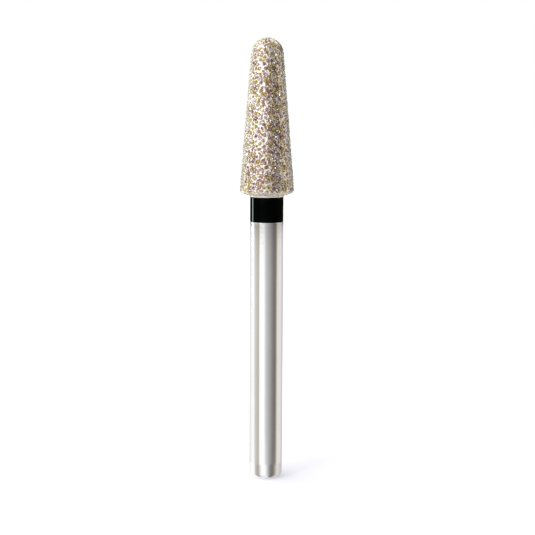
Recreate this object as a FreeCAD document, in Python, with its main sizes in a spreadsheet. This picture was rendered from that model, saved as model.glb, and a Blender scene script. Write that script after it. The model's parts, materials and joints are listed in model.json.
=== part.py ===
import FreeCAD, Part
import Sketcher
import enum
import math
import os

# Friction-grip dental bur: a round-ended tapered head plated with coarse diamond, on a plain ground shank.
# The origin is the centre of the shank's flat end. Z runs up the bur's axis to the tip of the head.
# Lengths are in millimetres and angles in degrees.

# Name, value and meaning of each size that can be set by itself
SIZES = [
    ("shank_diameter", 1.60, "ground shank that the chuck grips"),
    ("overall_length", 21.16, "flat end to the tip of the coated head"),
    ("end_round", 0.25, "radius of the rounded edge round the shank's flat end"),
    ("head_diameter", 2.56, "widest place over the coating"),
    ("head_length", 7.36, "coated length along the axis"),
    ("head_taper", 4.80, "slope of the head's side from the axis"),
    ("back_slope", 18.0, "slope of the head's underside from level"),
    ("back_round", 0.18, "radius of the coated edge at the widest place"),
    ("coat_thickness", 0.13, "nickel bond with the diamond grains that it holds"),
    ("neck_length", 0.06, "bare steel between the head and the colour ring"),
    ("ring_width", 1.19, "colour ring along the axis"),
    ("ring_depth", 0.05, "groove that the colour ring fills"),
    ("ring_relief", 0.005, "how far the ring's face lies below the shank's"),
    ("ring_round", 0.02, "radius of the ring's two outer edges"),
]

# Two computed places closer than this are the same place
SAME = 1e-6

# Formulas that several sketches share
SHANK_RADIUS = "Sizes.shank_diameter / 2"
HEAD_BASE = "Sizes.overall_length - Sizes.head_length"
RING_TOP = HEAD_BASE + " - Sizes.neck_length"
RING_BOTTOM = RING_TOP + " - Sizes.ring_width"


class Ref(enum.IntEnum):
    """Numbers by which a constraint names a point of a line or arc, or one of the sketch's own axes."""

    START = 1
    END = 2
    CENTRE = 3
    H_AXIS = -1
    V_AXIS = -2


ORIGIN_POINT = (Ref.H_AXIS, Ref.START)


def make_sheet(doc):
    """The spreadsheet of driving sizes, one row each: name, value, meaning."""
    sheet = doc.addObject("Spreadsheet::Sheet", "Sizes")
    for row, (alias, value, meaning) in enumerate(SIZES, 1):
        sheet.set(f"A{row}", alias)
        sheet.set(f"B{row}", str(value))
        sheet.set(f"C{row}", meaning)
        sheet.setAlias(f"B{row}", alias)
    doc.recompute()
    return sheet


def make_body(doc, label):
    """An empty body for one piece of the bur."""
    body = doc.addObject("PartDesign::Body", label)
    body.Label = label
    return body


def side_sketch(body, name):
    """A sketch on the body's XZ plane, so that its vertical axis is the bur's axis."""
    sketch = body.newObject("Sketcher::SketchObject", name)
    plane = next(o for o in body.Origin.OriginFeatures if o.Role == "XZ_Plane")
    sketch.AttachmentSupport = (plane, [""])
    sketch.MapMode = "FlatFace"
    return sketch


def point(x, z):
    """A place in a side sketch, from its distance off the axis and its height."""
    return FreeCAD.Vector(x, z, 0)


def line(sketch, start, end, construction=False):
    """Draws a straight line and gives its number in the sketch."""
    return sketch.addGeometry(Part.LineSegment(point(*start), point(*end)), construction)


def arc(sketch, centre, radius, from_angle, to_angle, construction=False):
    """Draws an anticlockwise arc, with its angles in radians, and gives its number in the sketch."""
    circle = Part.Circle(point(*centre), FreeCAD.Vector(0, 0, 1), radius)
    return sketch.addGeometry(Part.ArcOfCircle(circle, from_angle, to_angle), construction)


def join(sketch, kind, *ends):
    """A constraint with no size of its own, such as Coincident or Tangent."""
    sketch.addConstraint(Sketcher.Constraint(kind, *ends))


def value_of(sketch, formula):
    """The formula's present value, so that what is drawn starts where its constraint will hold it."""
    return float(sketch.evalExpression(formula))


def drive(sketch, name, formula, kind, *ends):
    """A named constraint whose size comes from the sheet by a formula, in millimetres or degrees."""
    value = value_of(sketch, formula)
    if kind == "Angle":
        value = math.radians(value)
    index = sketch.addConstraint(Sketcher.Constraint(kind, *ends, value))
    sketch.renameConstraint(index, name)
    sketch.setExpression(f"Constraints.{name}", formula)


def head_points(sheet):
    """Where the coated head's outline bends, worked out from the sheet so that each sketch starts solved."""
    taper = math.radians(sheet.head_taper)
    slope = math.radians(sheet.back_slope)
    radius = sheet.shank_diameter / 2
    base = sheet.overall_length - sheet.head_length
    edge_x = sheet.head_diameter / 2 - sheet.back_round
    edge_z = base + (edge_x - radius) * math.tan(slope) + sheet.back_round / math.cos(slope)
    reach = sheet.back_round + edge_x * math.cos(taper) - (sheet.overall_length - edge_z) * math.sin(taper)
    tip_radius = reach / (1 - math.sin(taper))
    return {
        "taper": taper,
        "slope": slope,
        "foot": (radius, base),
        "edge": (edge_x, edge_z),
        "edge_radius": sheet.back_round,
        "tip": (0.0, sheet.overall_length - tip_radius),
        "tip_radius": tip_radius,
    }


def on_circle(centre, radius, angle):
    """The place on a circle at that angle."""
    return (centre[0] + radius * math.cos(angle), centre[1] + radius * math.sin(angle))


def draw_coated_outline(sketch, sheet, construction):
    """The head as it is seen: underside, rounded edge, side and round tip, each tangent to the next."""
    p = head_points(sheet)
    edge_start = p["slope"] - math.pi / 2
    under = line(sketch, p["foot"], on_circle(p["edge"], p["edge_radius"], edge_start), construction)
    edge = arc(sketch, p["edge"], p["edge_radius"], edge_start, p["taper"], construction)
    side = line(
        sketch,
        on_circle(p["edge"], p["edge_radius"], p["taper"]),
        on_circle(p["tip"], p["tip_radius"], p["taper"]),
        construction,
    )
    tip = arc(sketch, p["tip"], p["tip_radius"], p["taper"], math.pi / 2, construction)
    join(sketch, "Tangent", under, Ref.END, edge, Ref.START)
    join(sketch, "Tangent", edge, Ref.END, side, Ref.START)
    join(sketch, "Tangent", side, Ref.END, tip, Ref.START)
    join(sketch, "PointOnObject", tip, Ref.CENTRE, Ref.V_AXIS)
    join(sketch, "PointOnObject", tip, Ref.END, Ref.V_AXIS)
    drive(sketch, "foot_radius", SHANK_RADIUS, "DistanceX", *ORIGIN_POINT, under, Ref.START)
    drive(sketch, "foot_height", HEAD_BASE, "DistanceY", *ORIGIN_POINT, under, Ref.START)
    drive(sketch, "slope", "Sizes.back_slope", "Angle", under)
    drive(sketch, "edge_round", "Sizes.back_round", "Radius", edge)
    edge_place = "Sizes.head_diameter / 2 - Sizes.back_round"
    drive(sketch, "edge_place", edge_place, "DistanceX", *ORIGIN_POINT, edge, Ref.CENTRE)
    drive(sketch, "taper", "90 + Sizes.head_taper", "Angle", side)
    drive(sketch, "tip_height", "Sizes.overall_length", "DistanceY", *ORIGIN_POINT, tip, Ref.END)
    return under, side, tip


def draw_core_outline(sketch, sheet, coated):
    """The turned steel under the coating: the coated outline set in by the coat, with a plain edge."""
    p = head_points(sheet)
    inset = sheet.coat_thickness
    lift = inset / math.cos(p["slope"])
    core_radius = p["tip_radius"] - inset
    foot = (p["foot"][0], p["foot"][1] + lift)
    side_end = on_circle(p["tip"], core_radius, p["taper"])
    # the underside runs out from the foot until it reaches the side's own line
    normal = (math.cos(p["taper"]), math.sin(p["taper"]))
    along = (math.cos(p["slope"]), math.sin(p["slope"]))
    gap = (side_end[0] - foot[0]) * normal[0] + (side_end[1] - foot[1]) * normal[1]
    run = gap / (along[0] * normal[0] + along[1] * normal[1])
    corner = (foot[0] + run * along[0], foot[1] + run * along[1])

    coated_under, coated_side, coated_tip = coated
    under = line(sketch, foot, corner)
    side = line(sketch, corner, side_end)
    tip = arc(sketch, p["tip"], core_radius, p["taper"], math.pi / 2)
    join(sketch, "Coincident", under, Ref.END, side, Ref.START)
    join(sketch, "Tangent", side, Ref.END, tip, Ref.START)
    join(sketch, "Parallel", under, coated_under)
    join(sketch, "Parallel", side, coated_side)
    join(sketch, "Coincident", tip, Ref.CENTRE, coated_tip, Ref.CENTRE)
    join(sketch, "PointOnObject", tip, Ref.END, Ref.V_AXIS)
    drive(sketch, "core_foot_radius", SHANK_RADIUS, "DistanceX", *ORIGIN_POINT, under, Ref.START)
    drive(sketch, "under_inset", "Sizes.coat_thickness", "Distance", under, Ref.START, coated_under)
    core_top = "Sizes.overall_length - Sizes.coat_thickness"
    drive(sketch, "core_tip_height", core_top, "DistanceY", *ORIGIN_POINT, tip, Ref.END)
    return under, side, tip


def draw_band(sketch, inner, outer, bottom, top):
    """A rectangle in the side sketch between two radii and two heights, all given as formulas."""
    x0, x1, z0, z1 = (value_of(sketch, formula) for formula in (inner, outer, bottom, top))
    corners = [(x0, z0), (x1, z0), (x1, z1), (x0, z1)]
    sides = [line(sketch, corners[i], corners[(i + 1) % len(corners)]) for i in range(len(corners))]
    for i, edge in enumerate(sides):
        join(sketch, "Coincident", edge, Ref.END, sides[(i + 1) % len(sides)], Ref.START)
        join(sketch, "Horizontal" if i % 2 == 0 else "Vertical", edge)
    drive(sketch, "inner", inner, "DistanceX", *ORIGIN_POINT, sides[0], Ref.START)
    drive(sketch, "outer", outer, "DistanceX", *ORIGIN_POINT, sides[0], Ref.END)
    drive(sketch, "bottom", bottom, "DistanceY", *ORIGIN_POINT, sides[0], Ref.START)
    drive(sketch, "top", top, "DistanceY", *ORIGIN_POINT, sides[2], Ref.START)


def turn(body, kind, name, sketch):
    """A full turn of the sketch about the bur's axis: a Revolution adds, a Groove cuts."""
    feature = body.newObject(kind, name)
    feature.Profile = sketch
    feature.ReferenceAxis = (sketch, ["V_Axis"])
    feature.Angle = 360
    body.Document.recompute()
    return feature


def circles_at(shape, heights, radius):
    """Names of the shape's round edges of that radius at those heights."""
    names = []
    for number, edge in enumerate(shape.Edges, 1):
        if edge.Degenerated or not isinstance(edge.Curve, Part.Circle):
            continue
        centre = edge.Curve.Center
        at_height = any(math.isclose(centre.z, height, abs_tol=SAME) for height in heights)
        if at_height and math.isclose(edge.Curve.Radius, radius, abs_tol=SAME):
            names.append(f"Edge{number}")
    return names


def make_steel_blank(doc, sheet):
    """Shank, neck and head core, turned and ground from one rod."""
    body = make_body(doc, "steel_blank")
    sketch = side_sketch(body, "blank_outline")
    coated = draw_coated_outline(sketch, sheet, construction=True)
    under, side, tip = draw_core_outline(sketch, sheet, coated)
    p = head_points(sheet)
    shank_radius = sheet.shank_diameter / 2
    flat_end = line(sketch, (0, 0), (shank_radius, 0))
    shank = line(sketch, (shank_radius, 0), (shank_radius, p["foot"][1] + sheet.coat_thickness))
    axis = line(sketch, (0, sheet.overall_length - sheet.coat_thickness), (0, 0))
    join(sketch, "Coincident", flat_end, Ref.START, *ORIGIN_POINT)
    join(sketch, "Horizontal", flat_end)
    join(sketch, "Coincident", flat_end, Ref.END, shank, Ref.START)
    join(sketch, "Vertical", shank)
    join(sketch, "Coincident", shank, Ref.END, under, Ref.START)
    join(sketch, "Coincident", axis, Ref.START, tip, Ref.END)
    join(sketch, "Coincident", axis, Ref.END, *ORIGIN_POINT)
    turned = turn(body, "PartDesign::Revolution", "turned_blank", sketch)

    soft = body.newObject("PartDesign::Fillet", "shank_end_round")
    soft.Base = (turned, circles_at(turned.Shape, [0.0], shank_radius))
    soft.setExpression("Radius", "Sizes.end_round")
    doc.recompute()

    groove_sketch = side_sketch(body, "ring_groove_outline")
    floor = SHANK_RADIUS + " - Sizes.ring_depth"
    outside = SHANK_RADIUS + " + Sizes.ring_depth"
    draw_band(groove_sketch, floor, outside, RING_BOTTOM, RING_TOP)
    turn(body, "PartDesign::Groove", "ring_groove", groove_sketch)
    return body


def make_colour_ring(doc, sheet):
    """The ring of enamel that fills the groove and tells the grade of the grit, just below flush."""
    body = make_body(doc, "colour_ring")
    sketch = side_sketch(body, "ring_outline")
    inner = SHANK_RADIUS + " - Sizes.ring_depth"
    outer = SHANK_RADIUS + " - Sizes.ring_relief"
    draw_band(sketch, inner, outer, RING_BOTTOM, RING_TOP)
    turned = turn(body, "PartDesign::Revolution", "ring_band", sketch)
    top = sheet.overall_length - sheet.head_length - sheet.neck_length
    face_radius = sheet.shank_diameter / 2 - sheet.ring_relief
    soft = body.newObject("PartDesign::Fillet", "ring_soft_edges")
    soft.Base = (turned, circles_at(turned.Shape, [top, top - sheet.ring_width], face_radius))
    soft.setExpression("Radius", "Sizes.ring_round")
    doc.recompute()
    return body


def make_diamond_coating(doc, sheet):
    """The plated layer of nickel and diamond grains, a closed shell that wraps the core down to the neck."""
    body = make_body(doc, "diamond_coating")
    sketch = side_sketch(body, "coating_outline")
    coated = draw_coated_outline(sketch, sheet, construction=False)
    under, side, tip = draw_core_outline(sketch, sheet, coated)
    p = head_points(sheet)
    neck_wall = line(sketch, p["foot"], (p["foot"][0], p["foot"][1] + sheet.coat_thickness))
    tip_wall = line(sketch, (0, sheet.overall_length), (0, sheet.overall_length - sheet.coat_thickness))
    join(sketch, "Coincident", neck_wall, Ref.START, coated[0], Ref.START)
    join(sketch, "Coincident", neck_wall, Ref.END, under, Ref.START)
    join(sketch, "Coincident", tip_wall, Ref.START, coated[2], Ref.END)
    join(sketch, "Coincident", tip_wall, Ref.END, tip, Ref.END)
    turn(body, "PartDesign::Revolution", "plated_layer", sketch)
    return body


def check(doc, pieces):
    """Stops the build if anything failed, before a file is written."""
    for item in doc.Objects:
        if "Invalid" in item.State or "Error" in item.State:
            raise RuntimeError(f"{item.Label} did not compute: {item.State}")
        if item.TypeId == "Sketcher::SketchObject" and not item.FullyConstrained:
            raise RuntimeError(f"{item.Label} is not fully constrained")
    for piece in pieces:
        if piece.Shape.isNull() or not piece.Shape.isValid() or len(piece.Shape.Solids) != 1:
            raise RuntimeError(f"{piece.Label} is not one valid solid")


def write(pieces):
    """One STEP file for each piece, named after it."""
    os.makedirs("parts", exist_ok=True)
    for piece in pieces:
        piece.Shape.exportStep(os.path.join("parts", piece.Label + ".step"))
        box = piece.Shape.BoundBox
        print(f"{piece.Label}: {piece.Shape.Volume:.4f} mm3, z {box.ZMin:.3f} to {box.ZMax:.3f}")


document = FreeCAD.newDocument("dental_bur")
sizes = make_sheet(document)
parts = [
    make_steel_blank(document, sizes),
    make_colour_ring(document, sizes),
    make_diamond_coating(document, sizes),
]
document.recompute()
check(document, parts)
write(parts)
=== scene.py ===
import json
import math

import bpy
import numpy as np
from mathutils import Matrix, Vector


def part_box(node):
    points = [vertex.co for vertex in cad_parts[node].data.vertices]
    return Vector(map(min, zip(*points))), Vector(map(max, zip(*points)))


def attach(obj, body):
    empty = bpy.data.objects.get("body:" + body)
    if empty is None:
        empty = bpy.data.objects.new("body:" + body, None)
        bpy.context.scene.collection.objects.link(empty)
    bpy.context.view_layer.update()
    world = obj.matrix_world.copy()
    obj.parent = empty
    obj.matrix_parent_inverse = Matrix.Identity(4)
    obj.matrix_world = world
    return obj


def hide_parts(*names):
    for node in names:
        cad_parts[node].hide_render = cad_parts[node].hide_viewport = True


# A friction-grip dental bur: a ground steel shank, a ring of black enamel, and a tapered head
# whose nickel bond holds coarse diamond grains. Z runs up the bur's axis from the shank's flat end.
# Shapes are worked out in millimetres and put into their meshes in metres.

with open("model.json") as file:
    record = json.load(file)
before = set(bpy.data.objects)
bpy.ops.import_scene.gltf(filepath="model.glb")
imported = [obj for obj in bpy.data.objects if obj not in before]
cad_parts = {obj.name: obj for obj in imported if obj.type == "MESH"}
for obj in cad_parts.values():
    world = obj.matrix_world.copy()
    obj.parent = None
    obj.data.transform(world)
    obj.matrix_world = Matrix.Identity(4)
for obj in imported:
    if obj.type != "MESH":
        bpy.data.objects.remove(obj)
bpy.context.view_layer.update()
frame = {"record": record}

MM = 0.001
SEED = 25
WHITE = (1.0, 1.0, 1.0)


def height_range(node):
    """Lowest and highest point of a CAD node, in millimetres."""
    low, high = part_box(node)
    return low.z / MM, high.z / MM


def mount(name):
    """One of the record's mounts."""
    return next(m for m in frame["record"]["mounts"] if m["name"] == name)


# Sizes, in millimetres, and angles

SHANK_RADIUS = mount("shank")["dims"]["r_mm"]
RING_BOTTOM, RING_TOP = height_range("colour_ring")
HEAD_BASE, HEAD_TOP = height_range("diamond_coating")
CORE_TOP = height_range("steel_blank")[1]
COAT = HEAD_TOP - CORE_TOP
HEAD_RADIUS = 1.28
END_ROUND = 0.25
RING_DEPTH = 0.05
RING_RELIEF = 0.005
HEAD_TAPER = math.radians(4.80)
BACK_SLOPE = math.radians(18.0)
BACK_ROUND = 0.18
EASE_TOP = 0.75
EASE_SLOPE = math.tan(math.radians(1.3))
EDGE_ROW = 0.05
SHANK_ROW = 1.0
GROOVE_SOFT = 0.015
ENAMEL_SOFT = 0.02

# How finely turned pieces are cut up
TURNED_AROUND = 160
END_ROWS = 24
CORE_ROWS = 90


class HeadOutline:
    """The coated head's outline: a path from the neck to the tip, as a function of the length along it.

    It is four stretches: the straight underside, the rounded edge, the straight tapered side and the round
    tip. Each starts where the one before it ends, in the same direction. On a round stretch a place is the
    middle plus the radius times the cosine and sine of tilt, the angle of the outward normal above level.
    """

    def __init__(self):
        edge_r = HEAD_RADIUS - BACK_ROUND
        rise = (edge_r - SHANK_RADIUS) * math.tan(BACK_SLOPE)
        edge_z = HEAD_BASE + rise + BACK_ROUND / math.cos(BACK_SLOPE)
        reach = BACK_ROUND + edge_r * math.cos(HEAD_TAPER) - (HEAD_TOP - edge_z) * math.sin(HEAD_TAPER)
        self.tip_radius = reach / (1 - math.sin(HEAD_TAPER))
        self.tip_z = HEAD_TOP - self.tip_radius
        self.edge = (edge_r, edge_z)
        self.under_tilt = BACK_SLOPE - math.pi / 2
        under_end = self.on_edge(self.under_tilt)
        side_start = self.on_edge(HEAD_TAPER)
        side_end = self.on_tip(HEAD_TAPER)
        lengths = [
            math.dist((SHANK_RADIUS, HEAD_BASE), under_end),
            BACK_ROUND * (HEAD_TAPER - self.under_tilt),
            math.dist(side_start, side_end),
            self.tip_radius * (math.pi / 2 - HEAD_TAPER),
        ]
        self.bends = np.concatenate([[0.0], np.cumsum(lengths)])
        self.length = self.bends[-1]
        self.under_end = under_end
        self.side = (side_start, side_end)

    def on_edge(self, tilt):
        """The place on the rounded edge where the normal has that tilt."""
        return (self.edge[0] + BACK_ROUND * math.cos(tilt), self.edge[1] + BACK_ROUND * math.sin(tilt))

    def on_tip(self, tilt):
        """The place on the round tip where the normal has that tilt."""
        return (self.tip_radius * math.cos(tilt), self.tip_z + self.tip_radius * math.sin(tilt))

    def at(self, along):
        """Radius, height and tilt at each length along the path."""
        s = np.asarray(along, float)
        b = self.bends
        share = [np.clip((s - b[i]) / (b[i + 1] - b[i]), 0, 1) for i in range(len(b) - 1)]
        tilt = self.under_tilt + (HEAD_TAPER - self.under_tilt) * share[1]
        tilt = tilt + (math.pi / 2 - HEAD_TAPER) * share[3]
        (start_r, start_z), (end_r, end_z) = self.side
        under_r = SHANK_RADIUS + (self.under_end[0] - SHANK_RADIUS) * share[0]
        under_z = HEAD_BASE + (self.under_end[1] - HEAD_BASE) * share[0]
        edge_r = self.edge[0] + BACK_ROUND * np.cos(tilt)
        edge_z = self.edge[1] + BACK_ROUND * np.sin(tilt)
        side_r = start_r + (end_r - start_r) * share[2]
        side_z = start_z + (end_z - start_z) * share[2]
        tip_r = self.tip_radius * np.cos(tilt)
        tip_z = self.tip_z + self.tip_radius * np.sin(tilt)
        where = [s < b[1], s < b[2], s < b[3]]
        radius = np.select(where, [under_r, edge_r, side_r], tip_r)
        height = np.select(where, [under_z, edge_z, side_z], tip_z)
        return radius, height, tilt


OUTLINE = HeadOutline()


def place(radius, height, around):
    """Points turned about the axis: radius times the angle's cosine, radius times its sine, and height."""
    radius, height, around = np.broadcast_arrays(radius, height, around)
    return np.stack([radius * np.cos(around), radius * np.sin(around), height], -1)


# Meshes


def add_object(name, points, faces, smooth=True):
    """An object whose mesh holds these points, in millimetres, and these faces."""
    mesh = bpy.data.meshes.new(name)
    mesh.from_pydata((points * MM).tolist(), [], faces)
    mesh.polygons.foreach_set("use_smooth", np.full(len(mesh.polygons), smooth))
    mesh.update()
    piece = bpy.data.objects.new(name, mesh)
    bpy.context.scene.collection.objects.link(piece)
    return piece


def closed_turning(name, rings):
    """A closed surface from a grid of points, rows by places around by 3, that runs up between two poles.

    The first and the last row are each one place, given as a row of equal points. The squares between the
    other rows are one face each, and each pole is the middle of a fan of triangles.
    """
    rows, around = rings.shape[:2]
    inner = rings[1:-1].reshape(-1, 3)
    start, end = len(inner), len(inner) + 1
    i = np.arange(around)
    j = (i + 1) % around
    base = np.arange(rows - 3)[:, None] * around
    squares = np.stack([base + i, base + j, base + around + j, base + around + i], -1).reshape(-1, 4)
    top = (rows - 3) * around
    start_fan = np.stack([np.full(around, start), j, i], -1)
    end_fan = np.stack([top + i, top + j, np.full(around, end)], -1)
    faces = squares.tolist() + start_fan.tolist() + end_fan.tolist()
    return add_object(name, np.vstack([inner, rings[0, :1], rings[-1, :1]]), faces)


CORNER_SHARE = 0.45


def rounded(points, radius, steps):
    """A path of radius and height with each inner corner rounded by that radius, or less where it is tight.

    Each round is a quadratic curve. While t goes from 0 to 1, it is the start times (1 - t) squared, plus
    the corner times twice t times (1 - t), plus the end times t squared.
    """
    points = np.asarray(points, float)
    path = [points[:1]]
    t = np.linspace(0, 1, steps)[:, None]
    for before, here, after in zip(points[:-2], points[1:-1], points[2:]):
        back, ahead = before - here, after - here
        reach_back = min(radius, CORNER_SHARE * np.linalg.norm(back))
        reach_ahead = min(radius, CORNER_SHARE * np.linalg.norm(ahead))
        a = here + back / np.linalg.norm(back) * reach_back
        b = here + ahead / np.linalg.norm(ahead) * reach_ahead
        path.append((1 - t) ** 2 * a + 2 * t * (1 - t) * here + t**2 * b)
    path.append(points[-1:])
    return np.vstack(path)


def full_circle(around):
    """Angles evenly round the axis, as a row."""
    return np.arange(around)[None] * 2 * math.pi / around


def turned(name, path):
    """A closed body turned from a path of radius and height that runs up from the axis to the axis."""
    return closed_turning(name, place(path[:, :1], path[:, 1:], full_circle(TURNED_AROUND)))


def dress(piece, material, stands_for=None):
    """The piece rides on the bur, has its finish and slot, and stands for a CAD node, if one is given."""
    piece.data.materials.append(material)
    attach(piece, "root")
    if stands_for:
        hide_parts(stands_for)
    return piece


# Shader helpers


def new_material(name):
    """A material with its Principled shader, and the node tree to add to."""
    material = bpy.data.materials.new(name)
    material.use_nodes = True
    tree = material.node_tree
    return material, tree, tree.nodes["Principled BSDF"]


def node(tree, kind, **settings):
    """A new node. A setting named after a property sets it, and any other sets the input of that name."""
    made = tree.nodes.new(kind)
    for key, value in settings.items():
        if hasattr(made, key):
            setattr(made, key, value)
        else:
            made.inputs[key.replace("_", " ")].default_value = value
    return made


def feed(tree, made, inputs):
    """Gives a node's inputs, by name, a socket each or a fixed value or colour."""
    for name, value in inputs.items():
        if isinstance(value, tuple):
            made.inputs[name].default_value = (*value, 1)
        elif isinstance(value, (int, float)):
            made.inputs[name].default_value = value
        else:
            tree.links.new(value, made.inputs[name])


def toned(tree, value, stops):
    """The colour that a ramp gives a value. A stop is a place on the ramp with a grey value or a colour."""
    made = tree.nodes.new("ShaderNodeValToRGB")
    elements = made.color_ramp.elements
    while len(elements) < len(stops):
        elements.new(1.0)
    for element, (position, colour) in zip(elements, stops):
        element.position = position
        rgb = (colour,) * 3 if isinstance(colour, (int, float)) else colour
        element.color = (*rgb, 1)
    tree.links.new(value, made.inputs[0])
    return made.outputs[0]


def smooth_step(tree, value, start, end):
    """A value that goes smoothly from 0 to 1 while the input goes from start to end."""
    made = node(tree, "ShaderNodeMapRange", interpolation_type="SMOOTHSTEP")
    feed(tree, made, {"Value": value, "From Min": start, "From Max": end})
    return made.outputs[0]


def calculate(tree, operation, first, second=None):
    """One step of arithmetic on sockets or numbers."""
    made = node(tree, "ShaderNodeMath", operation=operation)
    for socket, value in zip(made.inputs, (first, second)):
        if isinstance(value, (int, float)):
            socket.default_value = value
        elif value is not None:
            tree.links.new(value, socket)
    return made.outputs[0]


def blend(tree, share, first, second, how="MIX"):
    """Colours mixed or multiplied by a share. Each of the three is a socket or fixed."""
    made = node(tree, "ShaderNodeMix", data_type="RGBA", blend_type=how)
    feed(tree, made, {"Factor": share, "A": first, "B": second})
    return made.outputs["Result"]


def attribute(tree, name, output="Fac"):
    """A value or colour that the mesh holds for each of its points."""
    return node(tree, "ShaderNodeAttribute", attribute_name=name).outputs[output]


def relief(tree, height, depth):
    """The normal of a surface raised by the height times that depth, in millimetres."""
    made = node(tree, "ShaderNodeBump", Strength=1.0, Distance=depth * MM)
    tree.links.new(height, made.inputs["Height"])
    return made.outputs[0]


def new_group(name, inputs, output):
    """A shader node group with these inputs and their usual values and one output, and its two ends."""
    group = bpy.data.node_groups.new(name, "ShaderNodeTree")
    for label, value in inputs.items():
        socket = group.interface.new_socket(label, in_out="INPUT", socket_type="NodeSocketFloat")
        socket.default_value = value
    group.interface.new_socket(output, in_out="OUTPUT", socket_type="NodeSocketFloat")
    return group, node(group, "NodeGroupInput").outputs, node(group, "NodeGroupOutput").inputs


def make_mottle_group():
    """A fine and a coarse noise on object coordinates, mixed by the fine one's share.

    The height is multiplied by the stretch first, so a large one turns spots into rings round the axis.
    """
    inputs = {"Fine scale": 100.0, "Coarse scale": 20.0, "Fine share": 0.5, "Stretch": 1.0}
    group, given, result = new_group("mottle", inputs, "Value")
    where = node(group, "ShaderNodeTexCoord")
    apart = node(group, "ShaderNodeSeparateXYZ")
    together = node(group, "ShaderNodeCombineXYZ")
    fine = node(group, "ShaderNodeTexNoise", Detail=3.0)
    coarse = node(group, "ShaderNodeTexNoise", Detail=2.0)
    mix = node(group, "ShaderNodeMix", data_type="FLOAT")
    group.links.new(where.outputs["Object"], apart.inputs[0])
    x, y, z = apart.outputs
    feed(group, together, {"X": x, "Y": y, "Z": calculate(group, "MULTIPLY", z, given["Stretch"])})
    feed(group, fine, {"Vector": together.outputs[0], "Scale": given["Fine scale"]})
    feed(group, coarse, {"Vector": together.outputs[0], "Scale": given["Coarse scale"]})
    feed(group, mix, {"Factor": given["Fine share"], "A": coarse.outputs["Fac"], "B": fine.outputs["Fac"]})
    group.links.new(mix.outputs[0], result["Value"])
    return group


def make_rim_group():
    """A share that goes smoothly from 0 to 1 while the height in the object goes from start to end."""
    group, given, result = new_group("lower_rim", {"Start": 0.0, "End": 1.0}, "Share")
    where = node(group, "ShaderNodeTexCoord")
    apart = node(group, "ShaderNodeSeparateXYZ")
    group.links.new(where.outputs["Object"], apart.inputs[0])
    share = smooth_step(group, apart.outputs["Z"], given["Start"], given["End"])
    group.links.new(share, result["Share"])
    return group


def mottle(tree, group, fine, coarse, share, stretch):
    """The mottle group placed in a material, with scales in features per millimetre."""
    made = node(tree, "ShaderNodeGroup", node_tree=group)
    inputs = {"Fine scale": fine / MM, "Coarse scale": coarse / MM, "Fine share": share, "Stretch": stretch}
    feed(tree, made, inputs)
    return made.outputs["Value"]


def lower_rim(tree, group):
    """The rim group placed in a material, with RIM_HEIGHTS taken from the head's base."""
    made = node(tree, "ShaderNodeGroup", node_tree=group)
    start, end = ((HEAD_BASE + height) * MM for height in RIM_HEIGHTS)
    feed(tree, made, {"Start": start, "End": end})
    return made.outputs["Share"]


# Materials

# Painted light: the sheen that grains and bond are painted pale with where they are seen edge-on, the light
# painted at the head's lower rim where shade falls, and how far each goes
EDGE_PAINTED_SHEEN = (0.64, 0.65, 0.58)
EDGE_FACING = (0.30, 0.80)
EDGE_SHARE = 0.54
RIM_PAINTED_LIGHT = (0.98, 0.92, 0.83)
RIM_HEIGHTS = (0.28, 0.08)
RIM_SHARE = 0.75
NICKEL_METALLIC = 0.95
RIM_METALLIC = 0.25


def painted_sheen_share(tree):
    """A share that rises towards the head's outline, as it is seen, for the painted sheen there.

    The sheen is painted light. It stands in for the tops of grains and bond, which alone meet the eye there,
    while the hollows between them are hidden. The surface is taken to face straight out from the axis, and
    from the centre of the round tip above that.
    """
    where = node(tree, "ShaderNodeTexCoord")
    apart = node(tree, "ShaderNodeSeparateXYZ")
    outward = node(tree, "ShaderNodeCombineXYZ")
    unit = node(tree, "ShaderNodeVectorMath", operation="NORMALIZE")
    world = node(tree, "ShaderNodeVectorTransform", vector_type="NORMAL")
    world.convert_from, world.convert_to = "OBJECT", "WORLD"
    edge = node(tree, "ShaderNodeLayerWeight", Blend=0.5)
    tree.links.new(where.outputs["Object"], apart.inputs[0])
    x, y, z = apart.outputs
    above = calculate(tree, "SUBTRACT", z, OUTLINE.tip_z * MM)
    feed(tree, outward, {"X": x, "Y": y, "Z": calculate(tree, "MAXIMUM", above, 0.0)})
    tree.links.new(outward.outputs[0], unit.inputs[0])
    tree.links.new(unit.outputs[0], world.inputs[0])
    tree.links.new(world.outputs[0], edge.inputs["Normal"])
    return calculate(tree, "MULTIPLY", smooth_step(tree, edge.outputs["Facing"], *EDGE_FACING), EDGE_SHARE)


def with_painted_light(tree, colour, rim):
    """The colour of grains or bond with a painted sheen towards the head's outline and painted light at its
    lower rim.
    """
    pale = blend(tree, painted_sheen_share(tree), colour, EDGE_PAINTED_SHEEN)
    return blend(tree, calculate(tree, "MULTIPLY", rim, RIM_SHARE), pale, RIM_PAINTED_LIGHT)


def ground_steel(mottle_group):
    """Bright stainless steel, ground round and round, with fine rings in its gloss and faint clouds."""
    material, tree, shader = new_material("ground_steel")
    rings = mottle(tree, mottle_group, fine=0.9, coarse=0.25, share=0.5, stretch=40.0)
    clouds = mottle(tree, mottle_group, fine=2.5, coarse=0.6, share=0.4, stretch=0.4)
    inputs = {
        "Base Color": toned(tree, clouds, [(0.3, (0.86, 0.85, 0.84)), (0.7, (0.93, 0.925, 0.915))]),
        "Roughness": toned(tree, rings, [(0.3, 0.08), (0.7, 0.14)]),
        "Normal": relief(tree, rings, 0.0004),
        "Metallic": 1.0,
    }
    feed(tree, shader, inputs)
    return material


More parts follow.
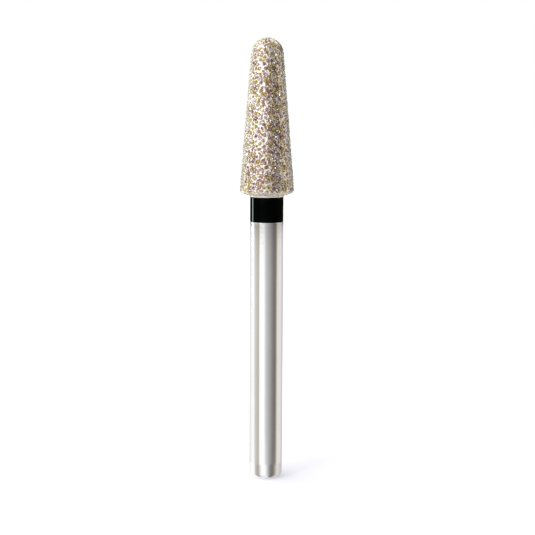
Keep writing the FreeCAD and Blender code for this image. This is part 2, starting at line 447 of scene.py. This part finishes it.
def black_enamel(mottle_group):
    """Black enamel, smooth and deep, with a faint orange-peel in its gloss."""
    material, tree, shader = new_material("black_enamel")
    peel = mottle(tree, mottle_group, fine=9.0, coarse=2.0, share=0.6, stretch=1.0)
    inputs = {
        "Base Color": toned(tree, peel, [(0.3, (0.0003, 0.0005, 0.0004)), (0.7, (0.0008, 0.0011, 0.001))]),
        "Specular IOR Level": 0.0,
        "Coat Weight": 0.6,
        "Coat IOR": 1.3,
        "Coat Roughness": toned(tree, peel, [(0.3, 0.02), (0.7, 0.04)]),
        "Coat Normal": relief(tree, peel, 0.0001),
    }
    feed(tree, shader, inputs)
    return material


def nickel_bond_metal(mottle_group, rim_group):
    """Electroplated nickel, with painted shade in its nodules' hollows and round the grains, a painted sheen
    towards the outline, and painted light at its lower rim, where it is also matt.
    """
    material, tree, shader = new_material("nickel_bond")
    nodules = mottle(tree, mottle_group, fine=30.0, coarse=9.0, share=0.45, stretch=0.8)
    warmth = [(0.2, (0.98, 0.94, 0.97)), (0.5, (0.97, 0.93, 0.88)), (0.85, (0.88, 0.81, 0.56))]
    metal = toned(tree, attribute(tree, "warmth"), warmth)
    # Painted shade: the bond is darker and browner in the hollows of the nodules that also raise its relief
    cloud = toned(tree, nodules, [(0.33, (0.68, 0.58, 0.49)), (0.51, WHITE)])
    # Painted shade: the nickel turns dark brown round each grain, where grain and bond meet
    grain_shade_stops = [(0.0, WHITE), (0.3, (0.92, 0.86, 0.91)), (0.85, (0.35, 0.22, 0.16))]
    grain_shade_colour = toned(tree, attribute(tree, "painted_grain_shade"), grain_shade_stops)
    colour = blend(tree, 1.0, blend(tree, 1.0, metal, cloud, "MULTIPLY"), grain_shade_colour, "MULTIPLY")
    rim = lower_rim(tree, rim_group)
    dulled = calculate(tree, "MULTIPLY", rim, NICKEL_METALLIC - RIM_METALLIC)
    # The base colour carries a painted sheen at the outline and painted light at the lower rim
    inputs = {
        "Base Color": with_painted_light(tree, colour, rim),
        "Roughness": toned(tree, nodules, [(0.3, 0.14), (0.7, 0.26)]),
        "Normal": relief(tree, nodules, 0.006),
        "Metallic": calculate(tree, "SUBTRACT", NICKEL_METALLIC, dulled),
    }
    feed(tree, shader, inputs)
    return material


def diamond(mottle_group, rim_group):
    """Synthetic diamond grit: glossy crystals from clear straw to olive and brown, each with its own tint.

    The metallic share stands for the light that a crystal's far facets throw back.
    """
    material, tree, shader = new_material("diamond_grit")
    flaws = mottle(tree, mottle_group, fine=30.0, coarse=8.0, share=0.5, stretch=1.0)
    cloud = toned(tree, flaws, [(0.35, (0.62, 0.58, 0.52)), (0.6, WHITE)])
    colour = blend(tree, 1.0, attribute(tree, "tint", "Color"), cloud, "MULTIPLY")
    # The base colour carries a painted sheen at the outline and painted light at the lower rim
    inputs = {
        "Base Color": with_painted_light(tree, colour, lower_rim(tree, rim_group)),
        "Roughness": toned(tree, flaws, [(0.3, 0.05), (0.7, 0.15)]),
        "Metallic": 0.55,
        "IOR": 2.42,
    }
    feed(tree, shader, inputs)
    return material


# Pieces


def end_path():
    """The shank's end from the axis out: flat, rounded, then a faint cone up to the cylinder.

    The cone takes its slope times the distance below its top off the radius. That is too little to see in
    the outline, but it bends the reflections.
    """
    tilt = np.radians(np.linspace(-90, 0, END_ROWS))
    round_r = SHANK_RADIUS - END_ROUND + END_ROUND * np.cos(tilt)
    round_z = END_ROUND + END_ROUND * np.sin(tilt)
    ease_z = np.array([END_ROUND + EDGE_ROW, EASE_TOP - EDGE_ROW, EASE_TOP, EASE_TOP + EDGE_ROW])
    r = np.concatenate([[0.0], round_r, np.full(len(ease_z), SHANK_RADIUS)])
    z = np.concatenate([[0.0], round_z, ease_z])
    r[1:] -= EASE_SLOPE * np.clip(EASE_TOP - z[1:], 0, EASE_TOP - END_ROUND)
    return np.stack([r, z], -1)


def steel_blank(material):
    """Shank, neck and head core in one piece, with the groove for the ring and a rounded flat end."""
    core_r, core_z, core_tilt = OUTLINE.at(np.linspace(0, OUTLINE.length, CORE_ROWS))
    core_r = core_r - COAT * np.cos(core_tilt)
    core_z = core_z - COAT * np.sin(core_tilt)
    keep = (core_r > SHANK_RADIUS) | (core_tilt > 0)
    core_path = np.stack([core_r[keep], core_z[keep]], -1)
    core_path[-1, 0] = 0
    groove = SHANK_RADIUS - RING_DEPTH
    shank = rounded(
        [
            (SHANK_RADIUS, SHANK_ROW),
            (SHANK_RADIUS, RING_BOTTOM - EDGE_ROW),
            (SHANK_RADIUS, RING_BOTTOM),
            (groove, RING_BOTTOM),
            (groove, RING_TOP),
            (SHANK_RADIUS, RING_TOP),
            (SHANK_RADIUS, HEAD_BASE + COAT / math.cos(BACK_SLOPE)),
        ],
        radius=GROOVE_SOFT,
        steps=5,
    )
    piece = turned("steel_blank_finish", np.vstack([end_path(), shank, core_path]))
    return dress(piece, material, stands_for="steel_blank")


def colour_ring(material):
    """The enamel band: a closed ring with soft edges, its face just below the shank's surface."""
    face = SHANK_RADIUS - RING_RELIEF
    floor = SHANK_RADIUS - RING_DEPTH
    path = rounded(
        [
            (floor, (RING_BOTTOM + RING_TOP) / 2),
            (floor, RING_BOTTOM),
            (face, RING_BOTTOM),
            (face, RING_BOTTOM + EDGE_ROW),
            (face, RING_TOP - EDGE_ROW),
            (face, RING_TOP),
            (floor, RING_TOP),
            (floor, (RING_BOTTOM + RING_TOP) / 2),
        ],
        radius=ENAMEL_SOFT,
        steps=6,
    )[:-1]
    points = place(path[:, :1], path[:, 1:], full_circle(TURNED_AROUND))
    here = np.arange(points[..., 0].size).reshape(len(path), TURNED_AROUND)
    beside, above = np.roll(here, -1, axis=1), np.roll(here, -1, axis=0)
    faces = np.stack([here, beside, np.roll(above, -1, axis=1), above], -1)
    piece = add_object("colour_ring_enamel", points.reshape(-1, 3), faces.reshape(-1, 4).tolist())
    return dress(piece, material, stands_for="colour_ring")


# Grains: sizes, spacing and how far their tops stand above the head's outline, in millimetres
GRAIN_SIZES = (0.055, 0.190)
GRAIN_SIZE_SPREAD = (1.2, 2.2)
GRAIN_CANDIDATES = 30000
GRAIN_START = 0.03
GRAIN_GAP = (-0.030, 0.030)
GRAIN_RISE = (0.018, 0.034)
OPEN_PATCH = 0.32
TINT_PATCH = 0.20
GRAIN_ROCK = math.radians(10)
HEXAGON_SHARE = 0.6
CRYSTAL_CUT = (0.18, 0.45)
TYPICAL_CUT = 0.33
CRYSTAL_STRETCH = (0.8, 1.2)
CRYSTAL_CHIP = 0.03
TINT_CHANCE = 0.6
TINT_SHADE = (0.8, 1.15)
WAVE_SPREAD = (0.7, 1.4)


def drift(points, patch, rng, waves=24):
    """A smooth random value at each point, spread about 0 by 1, with patches of about that size.

    It is the sum of the cosines of random waves, each about two patches long and with its own direction and
    phase, times the square root of 2 over their number.
    """
    k = rng.normal(size=(waves, 3))
    k *= (math.pi / patch * rng.uniform(*WAVE_SPREAD, waves) / np.linalg.norm(k, axis=1))[:, None]
    phase = rng.uniform(0, 2 * math.pi, waves)
    return np.cos(points @ k.T + phase).sum(1) * math.sqrt(2 / waves)


def yellowness(points):
    """How yellow the grit is at each point: one drift for the grains and for the nickel between them."""
    return drift(points, TINT_PATCH, np.random.default_rng(SEED + 1))


def scatter_grains(rng):
    """Where the grains sit: candidates spread evenly over the head's area, taken from the largest down.

    Each one that keeps its gap from all those taken before it is kept. The gap drifts from patch to patch,
    so that the grains crowd and overlap in one place and leave the nickel bare in another.
    """
    along = rng.uniform(GRAIN_START, OUTLINE.length, GRAIN_CANDIDATES * 2)
    radius = OUTLINE.at(along)[0]
    along = along[rng.uniform(0, HEAD_RADIUS, len(along)) < radius][:GRAIN_CANDIDATES]
    around = rng.uniform(0, 2 * math.pi, len(along))
    small, large = GRAIN_SIZES
    size = np.sort(small + (large - small) * rng.beta(*GRAIN_SIZE_SPREAD, len(along)))[::-1]
    radius, height, tilt = OUTLINE.at(along)
    centres = place(radius, height, around)
    tight, wide = GRAIN_GAP
    gap = tight + (wide - tight) * np.clip(0.5 + 0.5 * drift(centres, OPEN_PATCH, rng), 0, 1)
    taken = np.zeros(0, int)
    for i in range(len(along)):
        apart = np.linalg.norm(centres[taken] - centres[i], axis=1)
        if (apart > (size[taken] + size[i]) / 2 + gap[i]).all():
            taken = np.append(taken, i)
    return centres[taken], around[taken], tilt[taken], size[taken]


def crystal_pattern():
    """The corners and faces of a truncated octahedron, for a cut that each grain chooses for itself.

    Its 24 corners are every order and sign of (0, cut, 1 - cut). Six squares and eight hexagons join them.
    """
    corners, squares, hexagons = [], {}, {}
    for zero in range(3):
        others = [axis for axis in range(3) if axis != zero]
        for near, far in (others, others[::-1]):
            for near_sign in (-1, 1):
                for far_sign in (-1, 1):
                    index = len(corners)
                    corners.append((near, near_sign, far, far_sign))
                    squares.setdefault((far, far_sign), []).append(index)
                    for zero_sign in (-1, 1):
                        signs = {zero: zero_sign, near: near_sign, far: far_sign}
                        hexagons.setdefault(tuple(signs[a] for a in range(3)), []).append(index)
    return corners, list(squares.values()), list(hexagons.values())


def crystal_corners(corners, cut):
    """Corner places for each grain's cut: the far axis gets 1 - cut and the near axis gets cut."""
    points = np.zeros((len(cut), len(corners), 3))
    for i, (near, near_sign, far, far_sign) in enumerate(corners):
        points[:, i, near] = near_sign * cut
        points[:, i, far] = far_sign * (1 - cut)
    return points


def ordered(face, corners):
    """The face's corners in order round it, anticlockwise from outside."""
    points = crystal_corners(corners, np.array([TYPICAL_CUT]))[0][face]
    middle = points.mean(0)
    normal = middle / np.linalg.norm(middle)
    first = points[0] - middle
    second = np.cross(normal, first)
    angle = np.arctan2((points - middle) @ second, (points - middle) @ first)
    return [face[i] for i in np.argsort(angle)]


def turns(w, x, y, z):
    """Rotations as matrices, from quaternions of any length."""
    w, x, y, z = np.broadcast_arrays(w, x, y, z)
    w, x, y, z = np.stack([w, x, y, z]) / np.sqrt(w * w + x * x + y * y + z * z)
    return np.stack(
        [
            np.stack([1 - 2 * (y * y + z * z), 2 * (x * y - z * w), 2 * (x * z + y * w)], -1),
            np.stack([2 * (x * y + z * w), 1 - 2 * (x * x + z * z), 2 * (y * z - x * w)], -1),
            np.stack([2 * (x * z - y * w), 2 * (y * z + x * w), 1 - 2 * (x * x + y * y)], -1),
        ],
        -2,
    )


def grain_turns(around, tilt, rng):
    """How each crystal is turned: a square or a hexagon outwards, spun about the normal, then rocked."""
    count = len(around)
    square_up = np.eye(3)
    half = math.acos(1 / math.sqrt(3)) / 2
    aside = math.sin(half) / math.sqrt(2)
    hexagon_up = turns(math.cos(half), aside, -aside, 0.0)
    face_up = np.where(rng.random(count)[:, None, None] < HEXAGON_SHARE, hexagon_up, square_up)
    spin = rng.uniform(0, math.pi, count)
    rock = rng.normal(0, GRAIN_ROCK, (2, count))
    tangent = place(1.0, 0.0, around + math.pi / 2)
    normal = place(np.cos(tilt), np.sin(tilt), around)
    local = np.stack([tangent, np.cross(normal, tangent), normal], -1)
    return local @ turns(1.0, *rock, 0.0) @ turns(np.cos(spin), 0.0, 0.0, np.sin(spin)) @ face_up, normal


# Tints of the grains from the darkest patches to the yellowest, each with its share of them
TINTS = [
    ((0.22, 0.11, 0.07), 0.12),
    ((0.50, 0.29, 0.18), 0.10),
    ((0.94, 0.89, 0.93), 0.24),
    ((0.90, 0.80, 0.54), 0.20),
    ((0.74, 0.64, 0.26), 0.20),
    ((0.50, 0.45, 0.14), 0.14),
]


def grain_tints(centres, rng):
    """A tint for each grain, picked by its rank by drift and chance, so that like grains lie in patches."""
    score = yellowness(centres) + rng.normal(0, TINT_CHANCE, len(centres))
    rank = np.argsort(np.argsort(score)) / len(score)
    pick = np.searchsorted(np.cumsum([share for _, share in TINTS])[:-1], rank)
    shades = np.array([tint for tint, _ in TINTS])
    return np.clip(shades[pick] * rng.uniform(*TINT_SHADE, (len(centres), 1)), 0, 1)


def diamond_grains(material, grains, rng):
    """Blocky crystals, each cut, stretched, chipped and turned its own way, with a top at its own height."""
    centres, around, tilt, size = grains
    corners, squares, hexagons = crystal_pattern()
    count = len(size)
    points = crystal_corners(corners, rng.uniform(*CRYSTAL_CUT, count))
    points *= rng.uniform(*CRYSTAL_STRETCH, (count, 1, 3))
    points += rng.normal(0, CRYSTAL_CHIP, points.shape)
    turned_by, normal = grain_turns(around, tilt, rng)
    points = points @ turned_by.transpose(0, 2, 1)
    points *= (size / 2 / np.linalg.norm(points, axis=2).max(1))[:, None, None]
    top = np.einsum("gpi,gi->gp", points, normal).max(1)
    rise = rng.uniform(*GRAIN_RISE, count)
    points += (centres + normal * (rise - top)[:, None])[:, None]
    faces = [ordered(face, corners) for face in squares + hexagons]
    triangles = np.array([(f[0], f[i], f[i + 1]) for f in faces for i in range(1, len(f) - 1)])
    every = (np.arange(count)[:, None, None] * len(corners) + triangles).reshape(-1, 3)
    piece = add_object("diamond_grains", points.reshape(-1, 3), every.tolist(), smooth=False)
    colour = np.hstack([grain_tints(centres, rng), np.ones((count, 1))])
    tint = piece.data.attributes.new("tint", "FLOAT_COLOR", "POINT")
    tint.data.foreach_set("color", np.repeat(colour, len(corners), axis=0).ravel())
    return dress(piece, material)


# Nickel bond: grid, foot on the neck, level between the grains, how it climbs beside them and how far the
# painted shade round them reaches, in millimetres, and the most that one grain lifts it, as a share of the
# climb
BOND_AROUND = 320
BOND_ROWS = 290
BOND_INNER = 0.3
BOND_FOOT = [
    (SHANK_RADIUS - 0.01, RING_TOP + 0.005),
    (SHANK_RADIUS + 0.006, RING_TOP + 0.010),
    (SHANK_RADIUS + 0.012, HEAD_BASE - 0.015),
]
BOND_LEVEL = -0.022
BOND_CLIMB = 0.018
BOND_PEAK = 0.97
BOND_REACH = 0.035
GRAIN_WAIST = 0.40
GRAIN_SHADE_REACH = 0.018
BOND_WANDER = 0.014
BOND_WANDER_PATCH = 0.06
BLOCK = 4000


def bond_height(points, centres, size):
    """How far the bond stands from the head's outline at each point, and how much painted shade the nearest
    grain puts on it.

    The plating climbs each grain: its rise is greatest at the grain and falls off as a bell curve of the gap
    over the reach. The rises join as 1 minus the product of 1 minus each, so that two grains close together
    share one smooth saddle. The gap wanders a little from place to place, so that no grain has a round rim.
    """
    level = np.empty(len(points))
    nearest = np.empty(len(points))
    wander = BOND_WANDER * drift(points, BOND_WANDER_PATCH, np.random.default_rng(SEED + 2))
    for start in range(0, len(points), BLOCK):
        part = slice(start, start + BLOCK)
        block = points[part]
        square = (block**2).sum(1)[:, None] + (centres**2).sum(1) - 2 * block @ centres.T
        gap = np.sqrt(np.maximum(square, 0)) - GRAIN_WAIST * size + wander[part, None]
        rise = BOND_PEAK * np.exp(-((np.maximum(gap, 0) / BOND_REACH) ** 2))
        level[part] = 1 - np.prod(1 - rise, axis=1)
        nearest[part] = gap.min(1)
    return BOND_LEVEL + BOND_CLIMB * level, np.exp(-((np.maximum(nearest, 0) / GRAIN_SHADE_REACH) ** 2))


def nickel_bond(material, grains):
    """The plated nickel: the head's outline turned round the axis and moved along its normal by bond_height.

    Below it, the plating thins out in a foot on the neck, and inside the steel it closes on the axis.
    """
    centres, _, _, size = grains
    along = np.linspace(0, OUTLINE.length, BOND_ROWS)
    radius, height, tilt = (value[:, None] for value in OUTLINE.at(along))
    angle = full_circle(BOND_AROUND)
    surface = place(radius, height, angle)
    normal = place(np.cos(tilt), np.sin(tilt), angle)
    level, edge = bond_height(surface.reshape(-1, 3), centres, size)
    surface = surface + normal * level.reshape(BOND_ROWS, BOND_AROUND, 1)
    below = [(0.0, HEAD_BASE), (BOND_INNER, HEAD_BASE), *BOND_FOOT]
    rings = np.concatenate([*(place(r, z, angle) for r, z in below), surface], 0)
    rings[-1] = rings[-1].mean(0)
    piece = closed_turning("nickel_bond", rings)
    warm = np.clip(0.5 + 0.4 * yellowness(surface.reshape(-1, 3)), 0, 1)
    bare = np.zeros((len(below) - 1) * BOND_AROUND)
    poles = [0.0, 0.0]
    for name, value in (("painted_grain_shade", edge), ("warmth", warm)):
        values = np.concatenate([bare, value[: (BOND_ROWS - 1) * BOND_AROUND], poles])
        piece.data.attributes.new(name, "FLOAT", "POINT").data.foreach_set("value", values)
    return dress(piece, material, stands_for="diamond_coating")


# Studio

# What polished metal sees all round it: azimuth in degrees from the camera's side, anticlockwise from above,
# and the light there. Soft boxes, grey and tinted cards and a dark flag stand side by side.
STRIPES = [
    (-180, (0.80, 0.80, 0.80)),
    (-164, (0.82, 0.83, 0.82)),
    (-136, (0.93, 0.93, 0.91)),
    (-120, (1.06, 1.06, 1.05)),
    (-98, (1.12, 1.12, 1.12)),
    (-90, (0.85, 0.89, 0.89)),
    (-81, (0.61, 0.65, 0.63)),
    (-72, (0.67, 0.66, 0.55)),
    (-64, (0.62, 0.58, 0.50)),
    (-57, (0.49, 0.45, 0.38)),
    (-51, (0.84, 0.81, 0.74)),
    (-44, (1.26, 1.26, 1.26)),
    (-20, (1.20, 1.20, 1.20)),
    (-12, (0.97, 0.99, 1.01)),
    (-5, (0.73, 0.73, 0.76)),
    (2, (0.61, 0.61, 0.61)),
    (16, (0.50, 0.50, 0.50)),
    (30, (0.38, 0.36, 0.36)),
    (45, (0.26, 0.24, 0.24)),
    (54, (0.20, 0.19, 0.17)),
    (64, (0.21, 0.19, 0.17)),
    (69, (0.28, 0.26, 0.22)),
    (75, (0.50, 0.47, 0.41)),
    (81, (0.79, 0.75, 0.68)),
    (89, (0.87, 0.82, 0.77)),
    (118, (0.86, 0.83, 0.82)),
    (128, (0.74, 0.72, 0.73)),
    (145, (0.60, 0.59, 0.62)),
    (165, (0.58, 0.58, 0.61)),
    (180, (0.78, 0.78, 0.79)),
]

# The same lower down, where only the shank's end looks
LOW_STRIPES = [
    (-180, (0.85, 0.85, 0.85)),
    (-118, (1.15, 1.15, 1.15)),
    (-92, (1.12, 1.12, 1.08)),
    (-76, (0.58, 0.58, 0.55)),
    (-60, (0.44, 0.42, 0.39)),
    (-51, (0.50, 0.48, 0.46)),
    (-36, (0.94, 0.94, 0.91)),
    (-26, (1.15, 1.15, 1.15)),
    (-4, (1.12, 1.12, 1.12)),
    (12, (0.65, 0.64, 0.66)),
    (26, (0.33, 0.33, 0.34)),
    (40, (0.18, 0.17, 0.17)),
    (56, (0.22, 0.21, 0.19)),
    (72, (0.46, 0.44, 0.38)),
    (86, (0.78, 0.73, 0.68)),
    (110, (0.73, 0.70, 0.71)),
    (128, (0.53, 0.52, 0.56)),
    (180, (0.80, 0.80, 0.80)),
]

# The same higher up, where only the head looks: bright on the left, with a dark side on the right
HIGH_STRIPES = [
    (-180, (1.34, 1.34, 1.26)),
    (-168, (1.34, 1.38, 1.31)),
    (-150, (1.34, 1.38, 1.32)),
    (-100, (1.30, 1.33, 1.30)),
    (-70, (1.18, 1.19, 1.17)),
    (-45, (1.28, 1.30, 1.38)),
    (-20, (1.28, 1.30, 1.38)),
    (-8, (0.88, 0.86, 0.84)),
    (5, (0.58, 0.56, 0.53)),
    (22, (0.44, 0.42, 0.38)),
    (45, (0.20, 0.19, 0.16)),
    (62, (0.20, 0.19, 0.16)),
    (78, (0.50, 0.48, 0.43)),
    (90, (0.78, 0.76, 0.70)),
    (104, (0.70, 0.68, 0.63)),
    (118, (0.24, 0.24, 0.20)),
    (140, (0.07, 0.08, 0.06)),
    (162, (0.08, 0.10, 0.07)),
    (172, (0.50, 0.50, 0.45)),
    (180, (1.20, 1.16, 1.04)),
]

# Below and above the stripes, and in front of them
FLOOR_LEFT = (1.12, 1.03, 0.92)
FLOOR_RIGHT = (0.54, 0.49, 0.43)
CARD_WHITE = (0.80, 0.90, 1.06)
OVERHEAD_FRONT = (0.42, 0.39, 0.35)
OVERHEAD_BACK = (1.28, 1.25, 1.12)
TUBE = (11.5, 16.0, 14.2)
BELT = (0.1, 0.1, 0.1)

# How far up or down a direction points (its z), where each of them starts and where it is there in full
LOW_ROW = (-0.303, -0.325)
LEAN_ROW = (-0.14, -0.30)
HIGH_ROW = (-0.03, 0.12)
OVERHEAD_ROW = (0.42, 0.64)
CARD_ROW = (-0.36, -0.52)
FLOOR_ROW = (-0.84, -0.96)
FLOOR_SIDES = (-0.4, 0.6)
OVERHEAD_SIDES = (-0.35, 0.25)
OVERHEAD_SLANT = 0.6

# The middles of the card, the belt and the tube, and how far from there each ends and is there in full
STRIPE_LEAN = math.radians(-3.0)
CARD_AZIMUTH = math.radians(-10.0)
CARD_EDGE = (math.radians(34), math.radians(20))
TUBE_AZIMUTH = math.radians(-113.5)
TUBE_EDGE = (math.radians(6), math.radians(4))
BELT_LEVEL = -0.0915
BELT_EDGE = (0.0125, 0.0105)


def striped(tree, azimuth, stops):
    """The light of these stripes at an azimuth in radians. The ramp holds half of it, as it ends at 1."""
    whole = node(tree, "ShaderNodeMapRange")
    feed(tree, whole, {"Value": azimuth, "From Min": -math.pi, "From Max": math.pi})
    halves = [((degrees + 180) / 360, tuple(c / 2 for c in light)) for degrees, light in stops]
    return blend(tree, 1.0, toned(tree, whole.outputs[0], halves), (2, 2, 2), "MULTIPLY")


def near(tree, value, middle, edge):
    """A share that falls smoothly from 1 to 0 with the distance from a middle value."""
    off = calculate(tree, "ABSOLUTE", calculate(tree, "SUBTRACT", value, middle))
    return smooth_step(tree, off, *edge)


def glossy_surroundings(tree, direction):
    """The colour that gloss sees in a direction: three rows of stripes, above each other, floor and ceiling.

    The azimuth is the angle from minus y towards x. Low in front lies a white card. At the level that the
    ring alone mirrors, all is dark but for one narrow tube on the left, a little to the back.
    """
    apart = node(tree, "ShaderNodeSeparateXYZ")
    tree.links.new(direction, apart.inputs[0])
    x, y, z = apart.outputs
    azimuth = calculate(tree, "ARCTAN2", x, calculate(tree, "MULTIPLY", y, -1.0))
    lean = calculate(tree, "MULTIPLY", smooth_step(tree, z, *LEAN_ROW), STRIPE_LEAN)
    leaning = striped(tree, calculate(tree, "ADD", azimuth, lean), STRIPES)
    seen = blend(tree, smooth_step(tree, z, *LOW_ROW), leaning, striped(tree, azimuth, LOW_STRIPES))
    seen = blend(tree, smooth_step(tree, z, *HIGH_ROW), seen, striped(tree, azimuth, HIGH_STRIPES))
    back_left = calculate(tree, "SUBTRACT", y, calculate(tree, "MULTIPLY", x, OVERHEAD_SLANT))
    overhead = blend(tree, smooth_step(tree, back_left, *OVERHEAD_SIDES), OVERHEAD_FRONT, OVERHEAD_BACK)
    seen = blend(tree, smooth_step(tree, z, *OVERHEAD_ROW), seen, overhead)
    in_front = near(tree, azimuth, CARD_AZIMUTH, CARD_EDGE)
    card = calculate(tree, "MULTIPLY", in_front, smooth_step(tree, z, *CARD_ROW))
    seen = blend(tree, card, seen, CARD_WHITE)
    floor_seen = blend(tree, smooth_step(tree, x, *FLOOR_SIDES), FLOOR_LEFT, FLOOR_RIGHT)
    seen = blend(tree, smooth_step(tree, z, *FLOOR_ROW), seen, floor_seen)
    belt = near(tree, z, BELT_LEVEL, BELT_EDGE)
    seen = blend(tree, belt, seen, BELT, "MULTIPLY")
    tube = calculate(tree, "MULTIPLY", near(tree, azimuth, TUBE_AZIMUTH, TUBE_EDGE), belt)
    return blend(tree, tube, seen, TUBE)


# Soft light by direction, from the left through the front and back to the right
SOFT_SIDES = [(0.0, (2.10, 2.10, 1.98)), (0.5, (0.63, 0.62, 0.58)), (1.0, (0.04, 0.04, 0.04))]


def studio_world():
    """White to the camera. Gloss sees the surroundings, and other light is soft and stronger on the left."""
    world = bpy.data.worlds.new("studio")
    bpy.context.scene.world = world
    world.use_nodes = True
    tree = world.node_tree
    tree.nodes.clear()
    direction = node(tree, "ShaderNodeTexCoord").outputs["Generated"]
    apart = node(tree, "ShaderNodeSeparateXYZ")
    tree.links.new(direction, apart.inputs[0])
    sideways = node(tree, "ShaderNodeMapRange")
    feed(tree, sideways, {"Value": apart.outputs["X"], "From Min": -1.0, "From Max": 1.0})
    colours = [toned(tree, sideways.outputs[0], SOFT_SIDES), glossy_surroundings(tree, direction), WHITE]
    lights = [node(tree, "ShaderNodeBackground", Strength=1.0) for _ in colours]
    for light, colour in zip(lights, colours):
        feed(tree, light, {"Color": colour})
    soft, gloss, backdrop = (light.outputs[0] for light in lights)
    rays = node(tree, "ShaderNodeLightPath")
    glossy_or_soft = node(tree, "ShaderNodeMixShader")
    camera_or_light = node(tree, "ShaderNodeMixShader")
    out = node(tree, "ShaderNodeOutputWorld")
    link = tree.links.new
    link(rays.outputs["Is Glossy Ray"], glossy_or_soft.inputs[0])
    link(soft, glossy_or_soft.inputs[1])
    link(gloss, glossy_or_soft.inputs[2])
    link(rays.outputs["Is Camera Ray"], camera_or_light.inputs[0])
    link(glossy_or_soft.outputs[0], camera_or_light.inputs[1])
    link(backdrop, camera_or_light.inputs[2])
    link(camera_or_light.outputs[0], out.inputs["Surface"])


# The floor's half side, in millimetres, and its glow near the bur and away from it
FLOOR_HALF = 400.0
GLOW_NEAR = (4.0, 0.42)
GLOW_FAR = (20.0, 0.59)


def floor():
    """A wide pale floor under the bur, white to the camera where no shadow falls.

    It glows for the camera alone, and less so near the bur, where the lamps reach it and its shadow falls.
    """
    signs = np.array([(-1, -1, 0), (1, -1, 0), (1, 1, 0), (-1, 1, 0)])
    piece = add_object("floor", signs * FLOOR_HALF, [(0, 1, 2, 3)])
    material, tree, shader = new_material("floor_white")
    where = node(tree, "ShaderNodeTexCoord")
    distance = node(tree, "ShaderNodeVectorMath", operation="LENGTH")
    strength = node(tree, "ShaderNodeMapRange")
    tree.links.new(where.outputs["Object"], distance.inputs[0])
    (near_by, dim), (far_off, full) = GLOW_NEAR, GLOW_FAR
    limits = {"From Min": near_by * MM, "From Max": far_off * MM, "To Min": dim, "To Max": full}
    feed(tree, strength, {"Value": distance.outputs["Value"], **limits})
    rays = node(tree, "ShaderNodeLightPath")
    inputs = {
        "Base Color": (0.8, 0.8, 0.8),
        "Roughness": 1.0,
        "Specular IOR Level": 0.0,
        "Emission Color": (0.8, 0.8, 1.0),
        "Emission Strength": calculate(tree, "MULTIPLY", rays.outputs["Is Camera Ray"], strength.outputs[0]),
    }
    feed(tree, shader, inputs)
    piece.data.materials.append(material)
    piece.visible_glossy = False


LAMP_AIM = 14.0


def lamp(name, azimuth, elevation, distance, size, power):
    """A square soft box that faces the head from a direction, with the sizes in millimetres."""
    data = bpy.data.lights.new(name, "AREA")
    data.size = size * MM
    data.energy = power
    piece = bpy.data.objects.new(name, data)
    bpy.context.scene.collection.objects.link(piece)
    a, e = math.radians(azimuth), math.radians(elevation)
    away = Vector((math.sin(a) * math.cos(e), -math.cos(a) * math.cos(e), math.sin(e)))
    piece.location = Vector((0, 0, LAMP_AIM * MM)) + away * distance * MM
    piece.rotation_euler = (-away).to_track_quat("-Z", "Y").to_euler()


# Where the camera stands, in millimetres, degrees and pixels of the 535 pixel frame
CAMERA_DISTANCE = 55.0
CAMERA_PITCH = 8.1
CAMERA_ROLL = 0.26
CAMERA_AIM = (0.048, 0.0, 10.33)
CAMERA_FOCUS = 1146.0
CAMERA_CLIP = (1.0, 5000.0)
FRAME_SIDE = 535.0
SENSOR_WIDTH = 36.0


def camera():
    """The camera looks along +Y and down on the bur, as in the photograph."""
    data = bpy.data.cameras.new("camera")
    data.sensor_width = SENSOR_WIDTH
    data.lens = CAMERA_FOCUS / FRAME_SIDE * SENSOR_WIDTH
    data.clip_start, data.clip_end = (distance * MM for distance in CAMERA_CLIP)
    piece = bpy.data.objects.new("camera", data)
    bpy.context.scene.collection.objects.link(piece)
    pitch = math.radians(CAMERA_PITCH)
    back = Vector((0, -math.cos(pitch), math.sin(pitch)))
    piece.location = (Vector(CAMERA_AIM) + back * CAMERA_DISTANCE) * MM
    turn = (-back).to_track_quat("-Z", "Y").to_matrix().to_4x4()
    roll = turn @ Matrix.Rotation(math.radians(CAMERA_ROLL), 4, "Z")
    piece.rotation_euler = roll.to_euler()
    bpy.context.scene.camera = piece


# Making the bur

random_draws = np.random.default_rng(SEED)
mottle_group = make_mottle_group()
rim_group = make_rim_group()
camera()
steel_blank(ground_steel(mottle_group))
colour_ring(black_enamel(mottle_group))
grains = scatter_grains(random_draws)
nickel_bond(nickel_bond_metal(mottle_group, rim_group), grains)
diamond_grains(diamond(mottle_group, rim_group), grains, random_draws)

studio_world()
floor()
lamp("key", azimuth=-48, elevation=38, distance=90, size=28, power=0.014)
lamp("kicker", azimuth=75, elevation=25, distance=90, size=25, power=0.0012)
lamp("top", azimuth=20, elevation=75, distance=90, size=60, power=0.004)
bpy.context.scene.view_settings.view_transform = "Standard"
